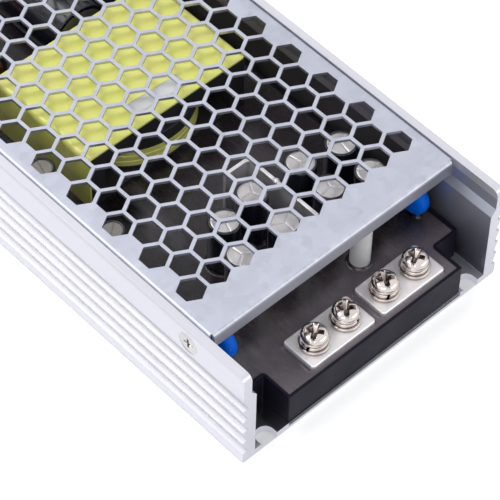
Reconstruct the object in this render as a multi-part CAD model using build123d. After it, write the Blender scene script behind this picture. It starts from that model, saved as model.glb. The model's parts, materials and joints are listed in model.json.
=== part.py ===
from build123d import *
import math
import os

# Slim fanless AC-DC converter in a ribbed aluminium channel under a perforated cover.
# X is the width, Y the length, Z is up.  The origin is on the underside at mid length and width.
# The output end faces -Y and the input end faces +Y.  All sizes are in millimetres.

# Overall size
length = 232.0
width = 81.0
height = 31.0
half_length = length / 2
half_width = width / 2
air = 0.1
seat_air = 0.05

# Extruded channel
floor_thickness = 2.0
wall_top_thickness = 2.4
wall_low_thickness = 3.8
ledge_drop = 1.8
band_height = 7.8
rib_count = 5
rib_pitch = 4.08
rib_depth = 1.35
rib_flank = 0.55
foot_height = 3.5
foot_corner_radius = 0.9
wall_edge_chamfer = 0.5
wall_corner_radius = 1.8

# Corner slots and tapped holes in the floor
slot_radius = 2.45
slot_depth = 3.7
slot_wall_distance = 4.35
base_hole_radius = 1.65
base_hole_span_x = 50.0
base_hole_span_y = 150.0

# Folded cover
cover_thickness = 0.8
cover_side_gap = 0.15
cover_end_setback = 13.3
cover_bend_radius = 1.0
flange_drop = 6.0
lip_drop = 4.0

# Hexagonal perforation
hole_pitch = 7.11
hole_flats = 6.2
hole_end_margin = 13.0
hole_side_margin = 5.5

# Cover screws
cover_screw_end_distance = 18.0
cover_screw_drop = 4.1
cover_screw_radius = 1.45
cover_screw_head_radius = 2.9
cover_screw_length = 4.8
recess_width = 0.7

# Potting tray
tray_end_gap = 0.3
tray_side_gap = 0.7
tray_height = 9.3
tray_wall = 0.8
tray_floor = 1.0
tray_neck_left_gap = 3.7
tray_neck_right_gap = 1.0
tray_neck_length = 8.5
tray_corner_radius = 0.3

# Circuit board and potting
board_thickness = 1.6
board_edge_gap = 0.4
board_post_height = 2.5
board_post_radius = 2.5
board_post_span_x = 46.0
board_post_rows = 3
board_post_span_y = 196.0
potting_below_rim = 0.3

# Output terminals
terminal_size_x = 20.1
terminal_size_y = 10.0
terminal_thickness = 1.6
terminal_corner = 1.0
terminal_edge = 0.4
terminal_leg_width = 6.0
terminal_proud = 1.6
terminal_end_distance = 7.1
terminal_side_distance = 20.2
terminal_spacing = 22.3
terminal_screw_span = 9.8
terminal_boss_radius = 3.5
terminal_boss_length = 2.6

# Terminal screws and their washers
screw_radius = 1.7
screw_head_radius = 3.3
screw_head_height = 2.5
screw_head_crown = 1.0
screw_length = 6.1
screw_slot_width = 0.8
screw_slot_depth = 0.7
screw_cross_span = 3.4
screw_cross_depth = 1.3
washer_radius = 3.8
washer_thickness = 0.8
spring_washer_radius = 3.1
spring_washer_thickness = 1.1
spring_washer_split = 0.6

# Indicator lamp on its spacer
indicator_offset = 2.2
indicator_end_distance = 17.8
spacer_radius = 2.5
spacer_bore_radius = 1.4
lamp_radius = 2.4
lamp_flange_radius = 2.8
lamp_flange_height = 0.9
lamp_height = 5.3
lamp_cover_gap = 1.0

# Output capacitors, as distances from the right inner side and from the output end
capacitor_radius = 4.0
capacitor_height = 18.9
sleeve_thickness = 0.15
sleeve_lip = 0.7
output_capacitor_places = [
    (49.6, 28.9), (36.2, 29.2), (21.1, 29.9), (10.8, 27.0),
    (45.9, 38.6), (35.6, 40.6), (21.0, 39.8), (10.0, 37.7),
]

# Small capacitors, as distances from the left inner side and from the output end, with their heights
small_capacitor_places = [(5.6, 80.6, 15.9), (7.0, 57.5, 12.9)]
small_capacitor_radius = 3.15

# Disc capacitors beside the output terminals, placed from the inner side next to each
disc_radius = 4.5
disc_thickness = 4.2
disc_edge = 1.8
disc_stem = 0.9
disc_left_place = (5.9, 19.6)
disc_right_place = (2.9, 20.2)

# Output busbar, a bent strip standing on edge
busbar_thickness = 1.0
busbar_height = 18.9
busbar_side_distance = 29.0
busbar_near = 25.8
busbar_far = 48.8
busbar_arm = 7.6
busbar_bend = 1.4

# Transformer
core_left_gap = 12.6
core_right_gap = 9.2
core_cover_gap = 2.0
core_distance = 88.5
core_depth = 34.4
core_plate = 5.0
core_leg = 4.6
core_post_radius = 8.0
core_clearance = 0.3
bobbin_wall = 1.0
bobbin_flange = 0.8
bobbin_head = 3.8
winding_gap = 1.3
tape_thickness = 0.45
tape_corner = 0.9
label_width = 15.4
label_depth = 4.2
label_thickness = 0.1
label_offset = 0.5
label_distance = 76.2

# Boost choke, a wound ring lying flat
boost_side_gap = 3.2
boost_bulk_gap = 3.9
boost_transformer_gap = 8.3
boost_core_ring = 6.0
boost_core_height = 9.6
boost_wire = 1.5
boost_turns_angle = 300.0

# Bulk capacitors lying side by side
bulk_radius = 8.7
bulk_side_distance = 8.6
bulk_spacing = 18.0
bulk_transformer_gap = 6.3
bulk_filter_gap = 5.7
bulk_groove = 0.6

# Input filter choke, a ring with two windings
filter_side_distance = 19.2
filter_distance = 66.0
filter_core_outer = 11.0
filter_core_inner = 6.0
filter_core_height = 10.0
filter_wire = 1.3
filter_turns_angle = 130.0

# Primary heatsink with its semiconductors
heatsink_side_distance = 19.2
heatsink_end_distance = 41.0
heatsink_boost_gap = 5.0
heatsink_thickness = 3.0
heatsink_height = 18.0
transistor_width = 10.2
transistor_height = 15.0
transistor_thickness = 4.5
transistor_pitch = 13.0
transistor_count = 2
rectifier_width = 20.0
rectifier_height = 17.0
rectifier_thickness = 3.6

# Input parts
film_width = 26.0
film_depth = 10.5
film_height = 16.5
film_side_distance = 16.7
film_distance = 40.0
fuse_radius = 2.6
fuse_length = 20.0
fuse_side_distance = 13.2
fuse_distance = 25.0
thermistor_radius = 6.5
thermistor_thickness = 5.0
thermistor_side_distance = 6.7
thermistor_distance = 46.0

# Input terminal block
pole_count = 3
pole_pitch = 9.5
pole_width = 7.9
block_end_wall = 1.6
block_depth = 13.6
block_end_distance = 1.6
block_seat_height = 7.6
block_height = 14.4
block_back_wall = 2.2
contact_thickness = 1.0
contact_width = 7.0
contact_pin = 1.4
clamp_size = 7.0
clamp_thickness = 1.0
input_screw_setback = 5.6
input_screw_length = 6.0

# Levels and places worked out from the sizes above
lower_inner_half = half_width - wall_low_thickness
upper_inner_half = half_width - wall_top_thickness
slot_x = lower_inner_half - slot_wall_distance
ledge_top = height - flange_drop
cover_underside = height - cover_thickness
band_bottom = height - band_height
top_rib = foot_height + (rib_count - 1) * rib_pitch
tray_top = floor_thickness + tray_height
tray_inside_bottom = floor_thickness + tray_floor
board_bottom = tray_inside_bottom + board_post_height
board_top = board_bottom + board_thickness
potting_top = tray_top - potting_below_rim
cover_half_width = upper_inner_half - cover_side_gap
cover_length = length - 2 * cover_end_setback
hole_columns = int(2 * (cover_half_width - hole_side_margin) / hole_pitch) + 1
cover_screw_z = height - cover_screw_drop
cover_screw_positions_y = (
    -half_length + cover_screw_end_distance,
    0.0,
    half_length - cover_screw_end_distance,
)
tray_neck_right = slot_x - slot_radius - tray_neck_right_gap
tray_neck_left = tray_neck_left_gap + slot_radius - slot_x
tray_inside_half = lower_inner_half - tray_side_gap - tray_wall
terminal_top = potting_top + terminal_proud
terminal_right_x = tray_inside_half - terminal_side_distance
terminal_left_x = terminal_right_x - terminal_spacing
indicator_x = terminal_right_x - indicator_offset
spacer_height = cover_underside - lamp_cover_gap - lamp_height - board_top
busbar_x = tray_inside_half - busbar_side_distance
core_width = 2 * tray_inside_half - core_left_gap - core_right_gap
core_height = cover_underside - core_cover_gap - 2 * tape_thickness - board_top
core_x = (core_left_gap - core_right_gap) / 2
core_back = core_distance + core_depth / 2
winding_radius = core_width / 2 - core_leg - winding_gap
label_x = core_x + label_offset
bulk_right_x = tray_inside_half - bulk_side_distance
bulk_places_x = (bulk_right_x - bulk_spacing, bulk_right_x)
filter_x = tray_inside_half - filter_side_distance
filter_front = length - filter_distance - filter_core_outer - filter_wire
bulk_front = core_back + bulk_transformer_gap
bulk_length = filter_front - bulk_filter_gap - bulk_front
boost_space = tray_inside_half + bulk_places_x[0] - bulk_radius
boost_radius = (boost_space - boost_side_gap - boost_bulk_gap) / 2
boost_core_outer = boost_radius - boost_wire
boost_core_inner = boost_core_outer - boost_core_ring
boost_x = boost_side_gap + boost_radius - tray_inside_half
boost_distance = core_back + boost_transformer_gap + boost_radius
heatsink_x = heatsink_side_distance - tray_inside_half
heatsink_front = boost_distance + boost_radius + heatsink_boost_gap
heatsink_back = length - heatsink_end_distance
heatsink_length = heatsink_back - heatsink_front
film_x = tray_inside_half - film_side_distance
fuse_x = fuse_side_distance - tray_inside_half
thermistor_x = thermistor_side_distance - tray_inside_half
input_screw_y = half_length - input_screw_setback
block_inner_end_y = half_length - block_end_distance - block_depth


def from_front(distance):
    """Y of a point that lies this far behind the output end."""
    return distance - half_length


def from_back(distance):
    """Y of a point that lies this far before the input end."""
    return half_length - distance


def box_between(low, high):
    """Box with two opposite corners at the given points."""
    size = [high[axis] - low[axis] for axis in range(3)]
    middle = [(high[axis] + low[axis]) / 2 for axis in range(3)]
    return Pos(*middle) * Box(*size)


def upright_cylinder(x, y, bottom, radius, tall):
    """Vertical cylinder standing on the level named bottom."""
    return Pos(x, y, bottom + tall / 2) * Cylinder(radius, tall)


def ring(inner, outer, tall):
    """Flat ring standing on the XY plane, centred on Z."""
    return extrude(Circle(outer) - Circle(inner), tall)


def ribbed_side_points():
    """Outline of the right outer side, from the wall top down to the base."""
    root_x = half_width - rib_depth
    points = [
        (half_width - wall_edge_chamfer, height),
        (half_width, height - wall_edge_chamfer),
        (half_width, band_bottom),
    ]
    for rib in range(rib_count):
        tip_z = top_rib - rib * rib_pitch
        points.append((root_x, tip_z + rib_flank))
        points.append((half_width, tip_z))
    points.append((half_width, 0))
    return points


def inner_side_points():
    """Outline of the right inner side, from the floor up to the wall top."""
    return [
        (lower_inner_half, floor_thickness),
        (lower_inner_half, ledge_top - ledge_drop),
        (upper_inner_half, ledge_top),
        (upper_inner_half, height),
    ]


def cover_screw_places():
    """Location of each cover screw, with its local Z pointing out of the wall."""
    return [
        Location((side * half_width, y, cover_screw_z), (0, side * 90, 0))
        for side in (-1, 1)
        for y in cover_screw_positions_y
    ]


def countersink_cutter():
    """Countersunk clearance hole through the wall, mouth at the local origin."""
    head = cover_screw_head_radius + seat_air
    shank = cover_screw_radius + seat_air
    depth = wall_top_thickness + cover_side_gap + cover_thickness
    profile = Polyline(
        (0, air), (head, air), (head, 0), (shank, shank - head), (shank, -depth), (0, -depth), close=True
    )
    return revolve(Plane.XZ * make_face(profile), Axis.Z)


def corner_slot_cutter():
    """Open slot for a fixing screw, cut through the floor at one corner."""
    arc_centre_y = -half_length + slot_depth - slot_radius
    tall = 4 * floor_thickness
    rounded_end = Pos(slot_x, arc_centre_y, 0) * Cylinder(slot_radius, tall)
    straight = box_between(
        (slot_x - slot_radius, -half_length - slot_radius, -tall / 2),
        (slot_x + slot_radius, arc_centre_y, tall / 2),
    )
    return rounded_end + straight


def in_four_corners(shape):
    """The shape with its mirror images across both middle planes."""
    pair = [shape, mirror(shape, Plane.YZ)]
    return pair + [mirror(item, Plane.XZ) for item in pair]


def make_channel():
    right = ribbed_side_points()
    left = [(-x, z) for x, z in reversed(right)]
    inner_right = inner_side_points()
    inner_left = [(-x, z) for x, z in reversed(inner_right)]
    outline = right + left + inner_left + inner_right
    section = make_face(Polyline(*outline, close=True))
    section = fillet(section.vertices().group_by(Axis.Y)[0], foot_corner_radius)
    channel = extrude(Plane.XZ * section, half_length, both=True)
    side_view = Rectangle(length, 2 * height)
    side_view = fillet(side_view.vertices(), wall_corner_radius)
    channel = channel & extrude(Plane.YZ * side_view, width, both=True)
    channel -= in_four_corners(corner_slot_cutter())
    base_hole = Cylinder(base_hole_radius, 4 * floor_thickness)
    channel -= in_four_corners(Pos(base_hole_span_x / 2, base_hole_span_y / 2, 0) * base_hole)
    channel -= [place * countersink_cutter() for place in cover_screw_places()]
    return channel


def folded_section(span, drop):
    """Section of the sheet with both edges folded down, as wide as span."""
    middle = height - drop
    outer = Pos(0, middle) * RectangleRounded(span, 2 * drop, cover_bend_radius)
    inner_tall = 2 * (drop - cover_thickness)
    inner = Pos(0, middle) * RectangleRounded(
        span - 2 * cover_thickness, inner_tall, cover_bend_radius - cover_thickness
    )
    lower_half = Pos(0, middle - drop / 2) * Rectangle(span, drop)
    return outer - inner - lower_half


def perforation():
    """Outline of every hexagonal hole, points along Y."""
    row_pitch = hole_pitch * math.sqrt(3) / 2
    first_row = -cover_length / 2 + hole_end_margin
    row_count = int((cover_length - 2 * hole_end_margin) / row_pitch) + 1
    places = []
    for row in range(row_count):
        columns = hole_columns - row % 2
        for column in range(columns):
            x = (column - (columns - 1) / 2) * hole_pitch
            places.append((x, first_row + row * row_pitch))
    hexagon = RegularPolygon(hole_flats / 2, 6, major_radius=False, rotation=30).wire()
    return [Pos(x, y) * hexagon for x, y in places]


def make_cover():
    side_fold = extrude(
        Plane.XZ * folded_section(2 * cover_half_width, flange_drop),
        cover_length / 2 - cover_bend_radius,
        both=True,
    )
    end_fold = extrude(
        Plane.YZ * folded_section(cover_length, lip_drop),
        cover_half_width - cover_bend_radius,
        both=True,
    )
    sheet_x = 2 * (cover_half_width - cover_bend_radius)
    sheet_y = cover_length - 2 * cover_bend_radius
    window = Pos(0, 0, height) * Box(sheet_x, sheet_y, 3 * cover_thickness)
    shank_hole = Cylinder(cover_screw_radius + seat_air, 2 * (wall_top_thickness + 2 * cover_thickness))
    rim = side_fold + end_fold - window - [place * shank_hole for place in cover_screw_places()]
    sheet = Face(Rectangle(sheet_x, sheet_y).wire(), perforation())
    return rim + Pos(0, 0, height - cover_thickness) * extrude(sheet, cover_thickness)


def cross_recess(span, slot_width, depth):
    """Cross cutter whose mouth is on the XY plane."""
    arm = Pos(0, 0, -depth / 2) * Box(span, slot_width, depth)
    return arm + Rot(0, 0, 90) * arm


def make_cover_screw():
    head = cover_screw_head_radius
    shank = cover_screw_radius
    tip = -cover_screw_length
    profile = Polyline((0, 0), (head, 0), (shank, shank - head), (shank, tip), (0, tip), close=True)
    screw = revolve(Plane.XZ * make_face(profile), Axis.Z)
    return screw - cross_recess(cover_screw_head_radius, recess_width, head - shank)


def make_cover_screws():
    screw = Pos(0, 0, -seat_air) * make_cover_screw()
    return [place * screw for place in cover_screw_places()]


def tray_outline():
    """Plan of the tray: a wide middle with a narrow neck at each end."""
    full_length = length - 2 * tray_end_gap
    neck_x = (tray_neck_left + tray_neck_right) / 2
    neck = Pos(neck_x, 0) * Rectangle(tray_neck_right - tray_neck_left, full_length)
    middle = Rectangle(2 * (lower_inner_half - tray_side_gap), full_length - 2 * tray_neck_length)
    outline = neck + middle
    return fillet(outline.vertices(), tray_corner_radius)


def tray_inside_outline():
    return offset(tray_outline(), -tray_wall, kind=Kind.INTERSECTION)


def board_posts():
    row_pitch = board_post_span_y / (board_post_rows - 1)
    return [
        upright_cylinder(
            side * board_post_span_x / 2,
            row * row_pitch - board_post_span_y / 2,
            tray_inside_bottom,
            board_post_radius,
            board_post_height,
        )
        for side in (-1, 1)
        for row in range(board_post_rows)
    ]


def make_tray():
    shell = Pos(0, 0, floor_thickness) * extrude(tray_outline(), tray_height)
    shell -= Pos(0, 0, tray_inside_bottom) * extrude(tray_inside_outline(), tray_height)
    return shell + board_posts()


def make_board():
    outline = offset(tray_outline(), -(tray_wall + board_edge_gap), kind=Kind.INTERSECTION)
    return Pos(0, 0, board_bottom) * extrude(outline, board_thickness)


def terminal_screw_x(centre_x):
    return [centre_x + side * terminal_screw_span / 2 for side in (-1, 1)]


def terminal_blank(centre_x):
    """Output terminal before its threaded holes are cut."""
    y = from_front(terminal_end_distance)
    plate = extrude(RectangleRounded(terminal_size_x, terminal_size_y, terminal_corner), terminal_thickness)
    plate = fillet(plate.faces().sort_by(Axis.Z)[-1].edges(), terminal_edge)
    plate = Pos(centre_x, y, terminal_top - terminal_thickness) * plate
    plate_bottom = terminal_top - terminal_thickness
    leg_x = terminal_size_x / 2 - terminal_thickness / 2
    for side in (-1, 1):
        plate += box_between(
            (centre_x + side * leg_x - terminal_thickness / 2, y - terminal_leg_width / 2, board_top),
            (centre_x + side * leg_x + terminal_thickness / 2, y + terminal_leg_width / 2, plate_bottom),
        )
    for x in terminal_screw_x(centre_x):
        plate += upright_cylinder(
            x, y, plate_bottom - terminal_boss_length, terminal_boss_radius, terminal_boss_length
        )
    return plate


def make_terminal(centre_x):
    y = from_front(terminal_end_distance)
    tall = 2 * (terminal_thickness + terminal_boss_length)
    bore = Cylinder(screw_radius + seat_air, tall)
    return terminal_blank(centre_x) - [Pos(x, y, terminal_top) * bore for x in terminal_screw_x(centre_x)]


def pan_screw(shank_length):
    """Pan head screw with a combined slot and cross, head underside on the XY plane."""
    shank = Pos(0, 0, -shank_length / 2) * Cylinder(screw_radius, shank_length)
    head = Pos(0, 0, screw_head_height / 2) * Cylinder(screw_head_radius, screw_head_height)
    head = fillet(head.edges().sort_by(Axis.Z)[-1], screw_head_crown)
    slot = Pos(0, 0, screw_head_height - screw_slot_depth / 2) * Box(
        2 * screw_head_radius, screw_slot_width, screw_slot_depth
    )
    cross = Pos(0, 0, screw_head_height) * cross_recess(screw_cross_span, screw_slot_width, screw_cross_depth)
    return head + shank - slot - cross


def make_flat_washer():
    return ring(screw_radius + air, washer_radius, washer_thickness)


def make_spring_washer():
    washer = ring(screw_radius + air, spring_washer_radius, spring_washer_thickness)
    split = Pos(spring_washer_radius, 0, 0) * Rot(0, 30, 0) * Box(
        2 * spring_washer_radius, spring_washer_split, 4 * spring_washer_thickness
    )
    return washer - split


def make_indicator_spacer():
    y = from_front(indicator_end_distance)
    return Pos(indicator_x, y, board_top) * ring(spacer_bore_radius, spacer_radius, spacer_height)


def make_indicator_lamp():
    flange = upright_cylinder(0, 0, 0, lamp_flange_radius, lamp_flange_height)
    body_height = lamp_height - lamp_radius
    body = upright_cylinder(0, 0, 0, lamp_radius, body_height)
    dome = Pos(0, 0, body_height) * Sphere(lamp_radius)
    lamp = flange + body + dome
    return Pos(indicator_x, from_front(indicator_end_distance), board_top + spacer_height) * lamp


def capacitor_can(radius, tall):
    return upright_cylinder(0, 0, 0, radius - sleeve_thickness, tall)


def capacitor_sleeve(radius, tall):
    """Shrunk sleeve with its edge curled over the can top."""
    inner = radius - sleeve_thickness
    profile = Polyline(
        (inner, 0),
        (radius, 0),
        (radius, tall + sleeve_thickness),
        (radius - sleeve_lip, tall + sleeve_thickness),
        (radius - sleeve_lip, tall),
        (inner, tall),
        close=True,
    )
    return revolve(Plane.XZ * make_face(profile), Axis.Z)


def upright_capacitor_places():
    """Location, radius and height of each upright electrolytic capacitor."""
    places = []
    for side_distance, distance in output_capacitor_places:
        place = Pos(tray_inside_half - side_distance, from_front(distance), board_top)
        places.append((place, capacitor_radius, capacitor_height))
    for side_distance, distance, tall in small_capacitor_places:
        place = Pos(side_distance - tray_inside_half, from_front(distance), board_top)
        places.append((place, small_capacitor_radius, tall))
    return places


def make_capacitor_cans():
    return [place * capacitor_can(radius, tall) for place, radius, tall in upright_capacitor_places()]


def make_capacitor_sleeves():
    return [place * capacitor_sleeve(radius, tall) for place, radius, tall in upright_capacitor_places()]


def make_disc_capacitor(place, side):
    """Dipped disc standing on edge near one side, with its leads dipped together as a stem."""
    side_distance, distance = place
    x = side * (tray_inside_half - side_distance)
    bottom = potting_top + disc_stem
    disc = Cylinder(disc_radius, disc_thickness)
    disc = fillet(disc.edges(), disc_edge)
    disc = Rot(0, 90, 0) * disc
    stem_tall = bottom + disc_radius - board_top
    stem = Pos(0, 0, -stem_tall / 2) * Box(disc_thickness / 2, disc_radius, stem_tall)
    return Pos(x, from_front(distance), bottom + disc_radius) * (disc + stem)


def make_busbar():
    arm_end_x = busbar_x - busbar_arm
    path = FilletPolyline(
        (busbar_x, from_front(busbar_near)),
        (busbar_x, from_front(busbar_far)),
        (arm_end_x, from_front(busbar_far)),
        radius=busbar_bend,
    )
    strip = trace(path, busbar_thickness)
    return Pos(0, 0, board_top) * extrude(strip, busbar_height)


def core_place():
    return Pos(core_x, from_front(core_distance), board_top + tape_thickness)


def make_core():
    """Ferrite core: two plates joined by two outer legs and a round centre post."""
    core = Pos(0, 0, core_height / 2) * Box(core_width, core_depth, core_height)
    window_height = core_height - 2 * core_plate
    window = Pos(0, 0, core_height / 2) * Box(core_width - 2 * core_leg, core_depth, window_height)
    post = Pos(0, 0, core_height / 2) * Cylinder(core_post_radius, window_height)
    return core_place() * (core - window + post)


def make_bobbin():
    """Bobbin on the centre post, with a thin flange below and a deep head above the winding."""
    inner = core_post_radius + core_clearance
    tall = core_height - 2 * core_plate - core_clearance
    tube = ring(inner, inner + bobbin_wall, tall)
    flange = ring(inner, winding_radius, bobbin_flange)
    head = Pos(0, 0, tall - bobbin_head) * ring(inner, winding_radius, bobbin_head)
    return core_place() * Pos(0, 0, core_plate) * (tube + flange + head)


def make_winding():
    """Taped winding drum between the bobbin's flange and head."""
    tall = core_height - 2 * core_plate - core_clearance - bobbin_flange - bobbin_head
    drum = ring(core_post_radius + core_clearance + bobbin_wall, winding_radius, tall)
    return core_place() * Pos(0, 0, core_plate + bobbin_flange) * drum


def make_core_tape():
    """Tape wound round the core over the plates and outer legs."""
    outer_width = core_width + 2 * tape_thickness
    outer_height = core_height + 2 * tape_thickness
    outer = RectangleRounded(outer_width, outer_height, tape_corner)
    loop = outer - Rectangle(core_width, core_height)
    tape = extrude(Plane.XZ * loop, core_depth / 2, both=True)
    return core_place() * Pos(0, 0, core_height / 2) * tape


def make_label():
    """Blank paper label stuck on the transformer tape."""
    bottom = board_top + core_height + 2 * tape_thickness
    sheet = extrude(Rectangle(label_width, label_depth), label_thickness)
    return Pos(label_x, from_front(label_distance), bottom) * sheet


def wound_ring_core(inner, outer, tall, wire):
    return Pos(0, 0, wire) * ring(inner, outer, tall)


def ring_winding(inner, outer, tall, wire, angle, start):
    """Close layer of wire round part of a ring core."""
    section = Pos((inner + outer) / 2, tall / 2 + wire) * (
        RectangleRounded(outer - inner + 2 * wire, tall + 2 * wire, wire) - Rectangle(outer - inner, tall)
    )
    return Rot(0, 0, start) * revolve(Plane.XZ * section, Axis.Z, angle)


def boost_place():
    return Pos(boost_x, from_front(boost_distance), board_top)


def make_boost_core():
    return boost_place() * wound_ring_core(boost_core_inner, boost_core_outer, boost_core_height, boost_wire)


def make_boost_winding():
    return boost_place() * ring_winding(
        boost_core_inner, boost_core_outer, boost_core_height, boost_wire, boost_turns_angle, 0
    )


def filter_place():
    return Pos(filter_x, from_back(filter_distance), board_top)


def make_filter_core():
    core = wound_ring_core(filter_core_inner, filter_core_outer, filter_core_height, filter_wire)
    return filter_place() * core


def make_filter_windings():
    half = filter_turns_angle / 2
    sizes = (filter_core_inner, filter_core_outer, filter_core_height, filter_wire, filter_turns_angle)
    return [filter_place() * ring_winding(*sizes, start) for start in (-half, 180 - half)]


def lying_along_y(x):
    """Location of a bulk capacitor: its axis along Y, resting on the board."""
    y = from_front(bulk_front) + bulk_length
    return Location((x, y, board_top + bulk_radius), (90, 0, 0))


def make_bulk_cans():
    can = upright_cylinder(0, 0, 0, bulk_radius - sleeve_thickness, bulk_length)
    groove_outer = Pos(0, 0, 4 * bulk_groove) * Torus(bulk_radius, bulk_groove)
    return [lying_along_y(x) * (can - groove_outer) for x in bulk_places_x]


def make_bulk_sleeves():
    sleeve = capacitor_sleeve(bulk_radius, bulk_length)
    return [lying_along_y(x) * sleeve for x in bulk_places_x]


def make_heatsink():
    return box_between(
        (heatsink_x - heatsink_thickness / 2, from_front(heatsink_front), board_top),
        (heatsink_x + heatsink_thickness / 2, from_front(heatsink_back), board_top + heatsink_height),
    )


def package_on_heatsink(side, offset, size_y, thickness, tall):
    """Flat semiconductor package pressed against one face of the heatsink, offset from its middle."""
    inner_x = heatsink_x + side * heatsink_thickness / 2
    outer_x = inner_x + side * thickness
    y = from_front(heatsink_front + heatsink_length / 2 + offset)
    return box_between(
        (min(inner_x, outer_x), y - size_y / 2, board_top),
        (max(inner_x, outer_x), y + size_y / 2, board_top + tall),
    )


def make_transistors():
    first = -(transistor_count - 1) * transistor_pitch / 2
    offsets = [first + item * transistor_pitch for item in range(transistor_count)]
    return [
        package_on_heatsink(1, offset, transistor_width, transistor_thickness, transistor_height)
        for offset in offsets
    ]


def make_rectifier():
    return package_on_heatsink(-1, 0, rectifier_width, rectifier_thickness, rectifier_height)


def make_film_capacitor():
    y = from_back(film_distance)
    body = box_between(
        (film_x - film_width / 2, y - film_depth / 2, board_top),
        (film_x + film_width / 2, y + film_depth / 2, board_top + film_height),
    )
    return chamfer(body.edges().filter_by(Axis.Z), 0.6)


def make_fuse():
    body = Rot(0, 90, 0) * Cylinder(fuse_radius, fuse_length)
    return Pos(fuse_x, from_back(fuse_distance), board_top + fuse_radius) * body


def make_thermistor():
    disc = Rot(0, 90, 0) * Cylinder(thermistor_radius, thermistor_thickness)
    disc = fillet(disc.edges(), 0.8)
    return Pos(thermistor_x, from_back(thermistor_distance), board_top + thermistor_radius) * disc


def pole_positions_x():
    return [(pole - (pole_count - 1) / 2) * pole_pitch for pole in range(pole_count)]


def block_blank():
    """Terminal block before the seats, holes and pin passages are cut."""
    block_width = (pole_count - 1) * pole_pitch + pole_width + 2 * block_end_wall
    return box_between(
        (-block_width / 2, block_inner_end_y, board_top),
        (block_width / 2, half_length - block_end_distance, board_top + block_height),
    )


def make_block():
    block = block_blank()
    seat = board_top + block_seat_height
    end_y = half_length - block_end_distance
    for x in pole_positions_x():
        block -= box_between(
            (x - pole_width / 2, block_inner_end_y + block_back_wall, seat),
            (x + pole_width / 2, end_y + air, board_top + block_height + air),
        )
        block -= upright_cylinder(x, input_screw_y, board_top + air, screw_radius + air, block_seat_height)
        block -= box_between(
            (x - contact_pin / 2, block_inner_end_y + block_back_wall, board_top - air),
            (x + contact_pin / 2, block_inner_end_y + block_back_wall + contact_thickness, seat + air),
        )
    return block


def make_input_contacts():
    """One tinned strip for each pole, with a pin down to the board."""
    seat = board_top + block_seat_height
    strip_start = block_inner_end_y + block_back_wall
    contacts = []
    for x in pole_positions_x():
        strip = box_between(
            (x - contact_width / 2, strip_start, seat),
            (x + contact_width / 2, half_length - block_end_distance - air, seat + contact_thickness),
        )
        pin = box_between(
            (x - contact_pin / 2, strip_start, board_top),
            (x + contact_pin / 2, strip_start + contact_thickness, seat),
        )
        bore_tall = contact_thickness + 2 * air
        bore = upright_cylinder(x, input_screw_y, seat - air, screw_radius + seat_air, bore_tall)
        contacts.append(strip + pin - bore)
    return contacts


def make_clamp_plate(x):
    top = board_top + block_seat_height + contact_thickness
    plate = extrude(Rectangle(clamp_size, clamp_size) - Circle(screw_radius + air), clamp_thickness)
    return Pos(x, input_screw_y, top) * plate


def make_input_screw(x):
    top = board_top + block_seat_height + contact_thickness + clamp_thickness
    return Pos(x, input_screw_y, top) * pan_screw(input_screw_length)


def envelopes_in_potting():
    """Outer shapes, without bores, of what stands in the potting and has hollows of its own."""
    shapes = [terminal_blank(terminal_left_x), terminal_blank(terminal_right_x), block_blank()]
    for place, radius, tall in upright_capacitor_places():
        shapes.append(place * upright_cylinder(0, 0, 0, radius, tall))
    bulk_envelope = upright_cylinder(0, 0, 0, bulk_radius, bulk_length + sleeve_thickness)
    shapes += [lying_along_y(x) * bulk_envelope for x in bulk_places_x]
    spacer_y = from_front(indicator_end_distance)
    shapes.append(upright_cylinder(indicator_x, spacer_y, board_top, spacer_radius, spacer_height))
    shapes.append(
        core_place() * Pos(0, core_depth / 2, core_height / 2) * Rot(90, 0, 0) * extrude(
            RectangleRounded(core_width + 2 * tape_thickness, core_height + 2 * tape_thickness, tape_corner),
            core_depth,
        )
    )
    return shapes


def make_potting(embedded):
    """Potting poured round the board and the feet of the components."""
    fill = Pos(0, 0, tray_inside_bottom) * extrude(tray_inside_outline(), potting_top - tray_inside_bottom)
    return fill - board_posts() - envelopes_in_potting() - embedded


def as_solids(shape):
    """Every solid of a shape or of a list of shapes."""
    if isinstance(shape, (list, tuple)):
        return [solid for item in shape for solid in item.solids()]
    return list(shape.solids())


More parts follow.
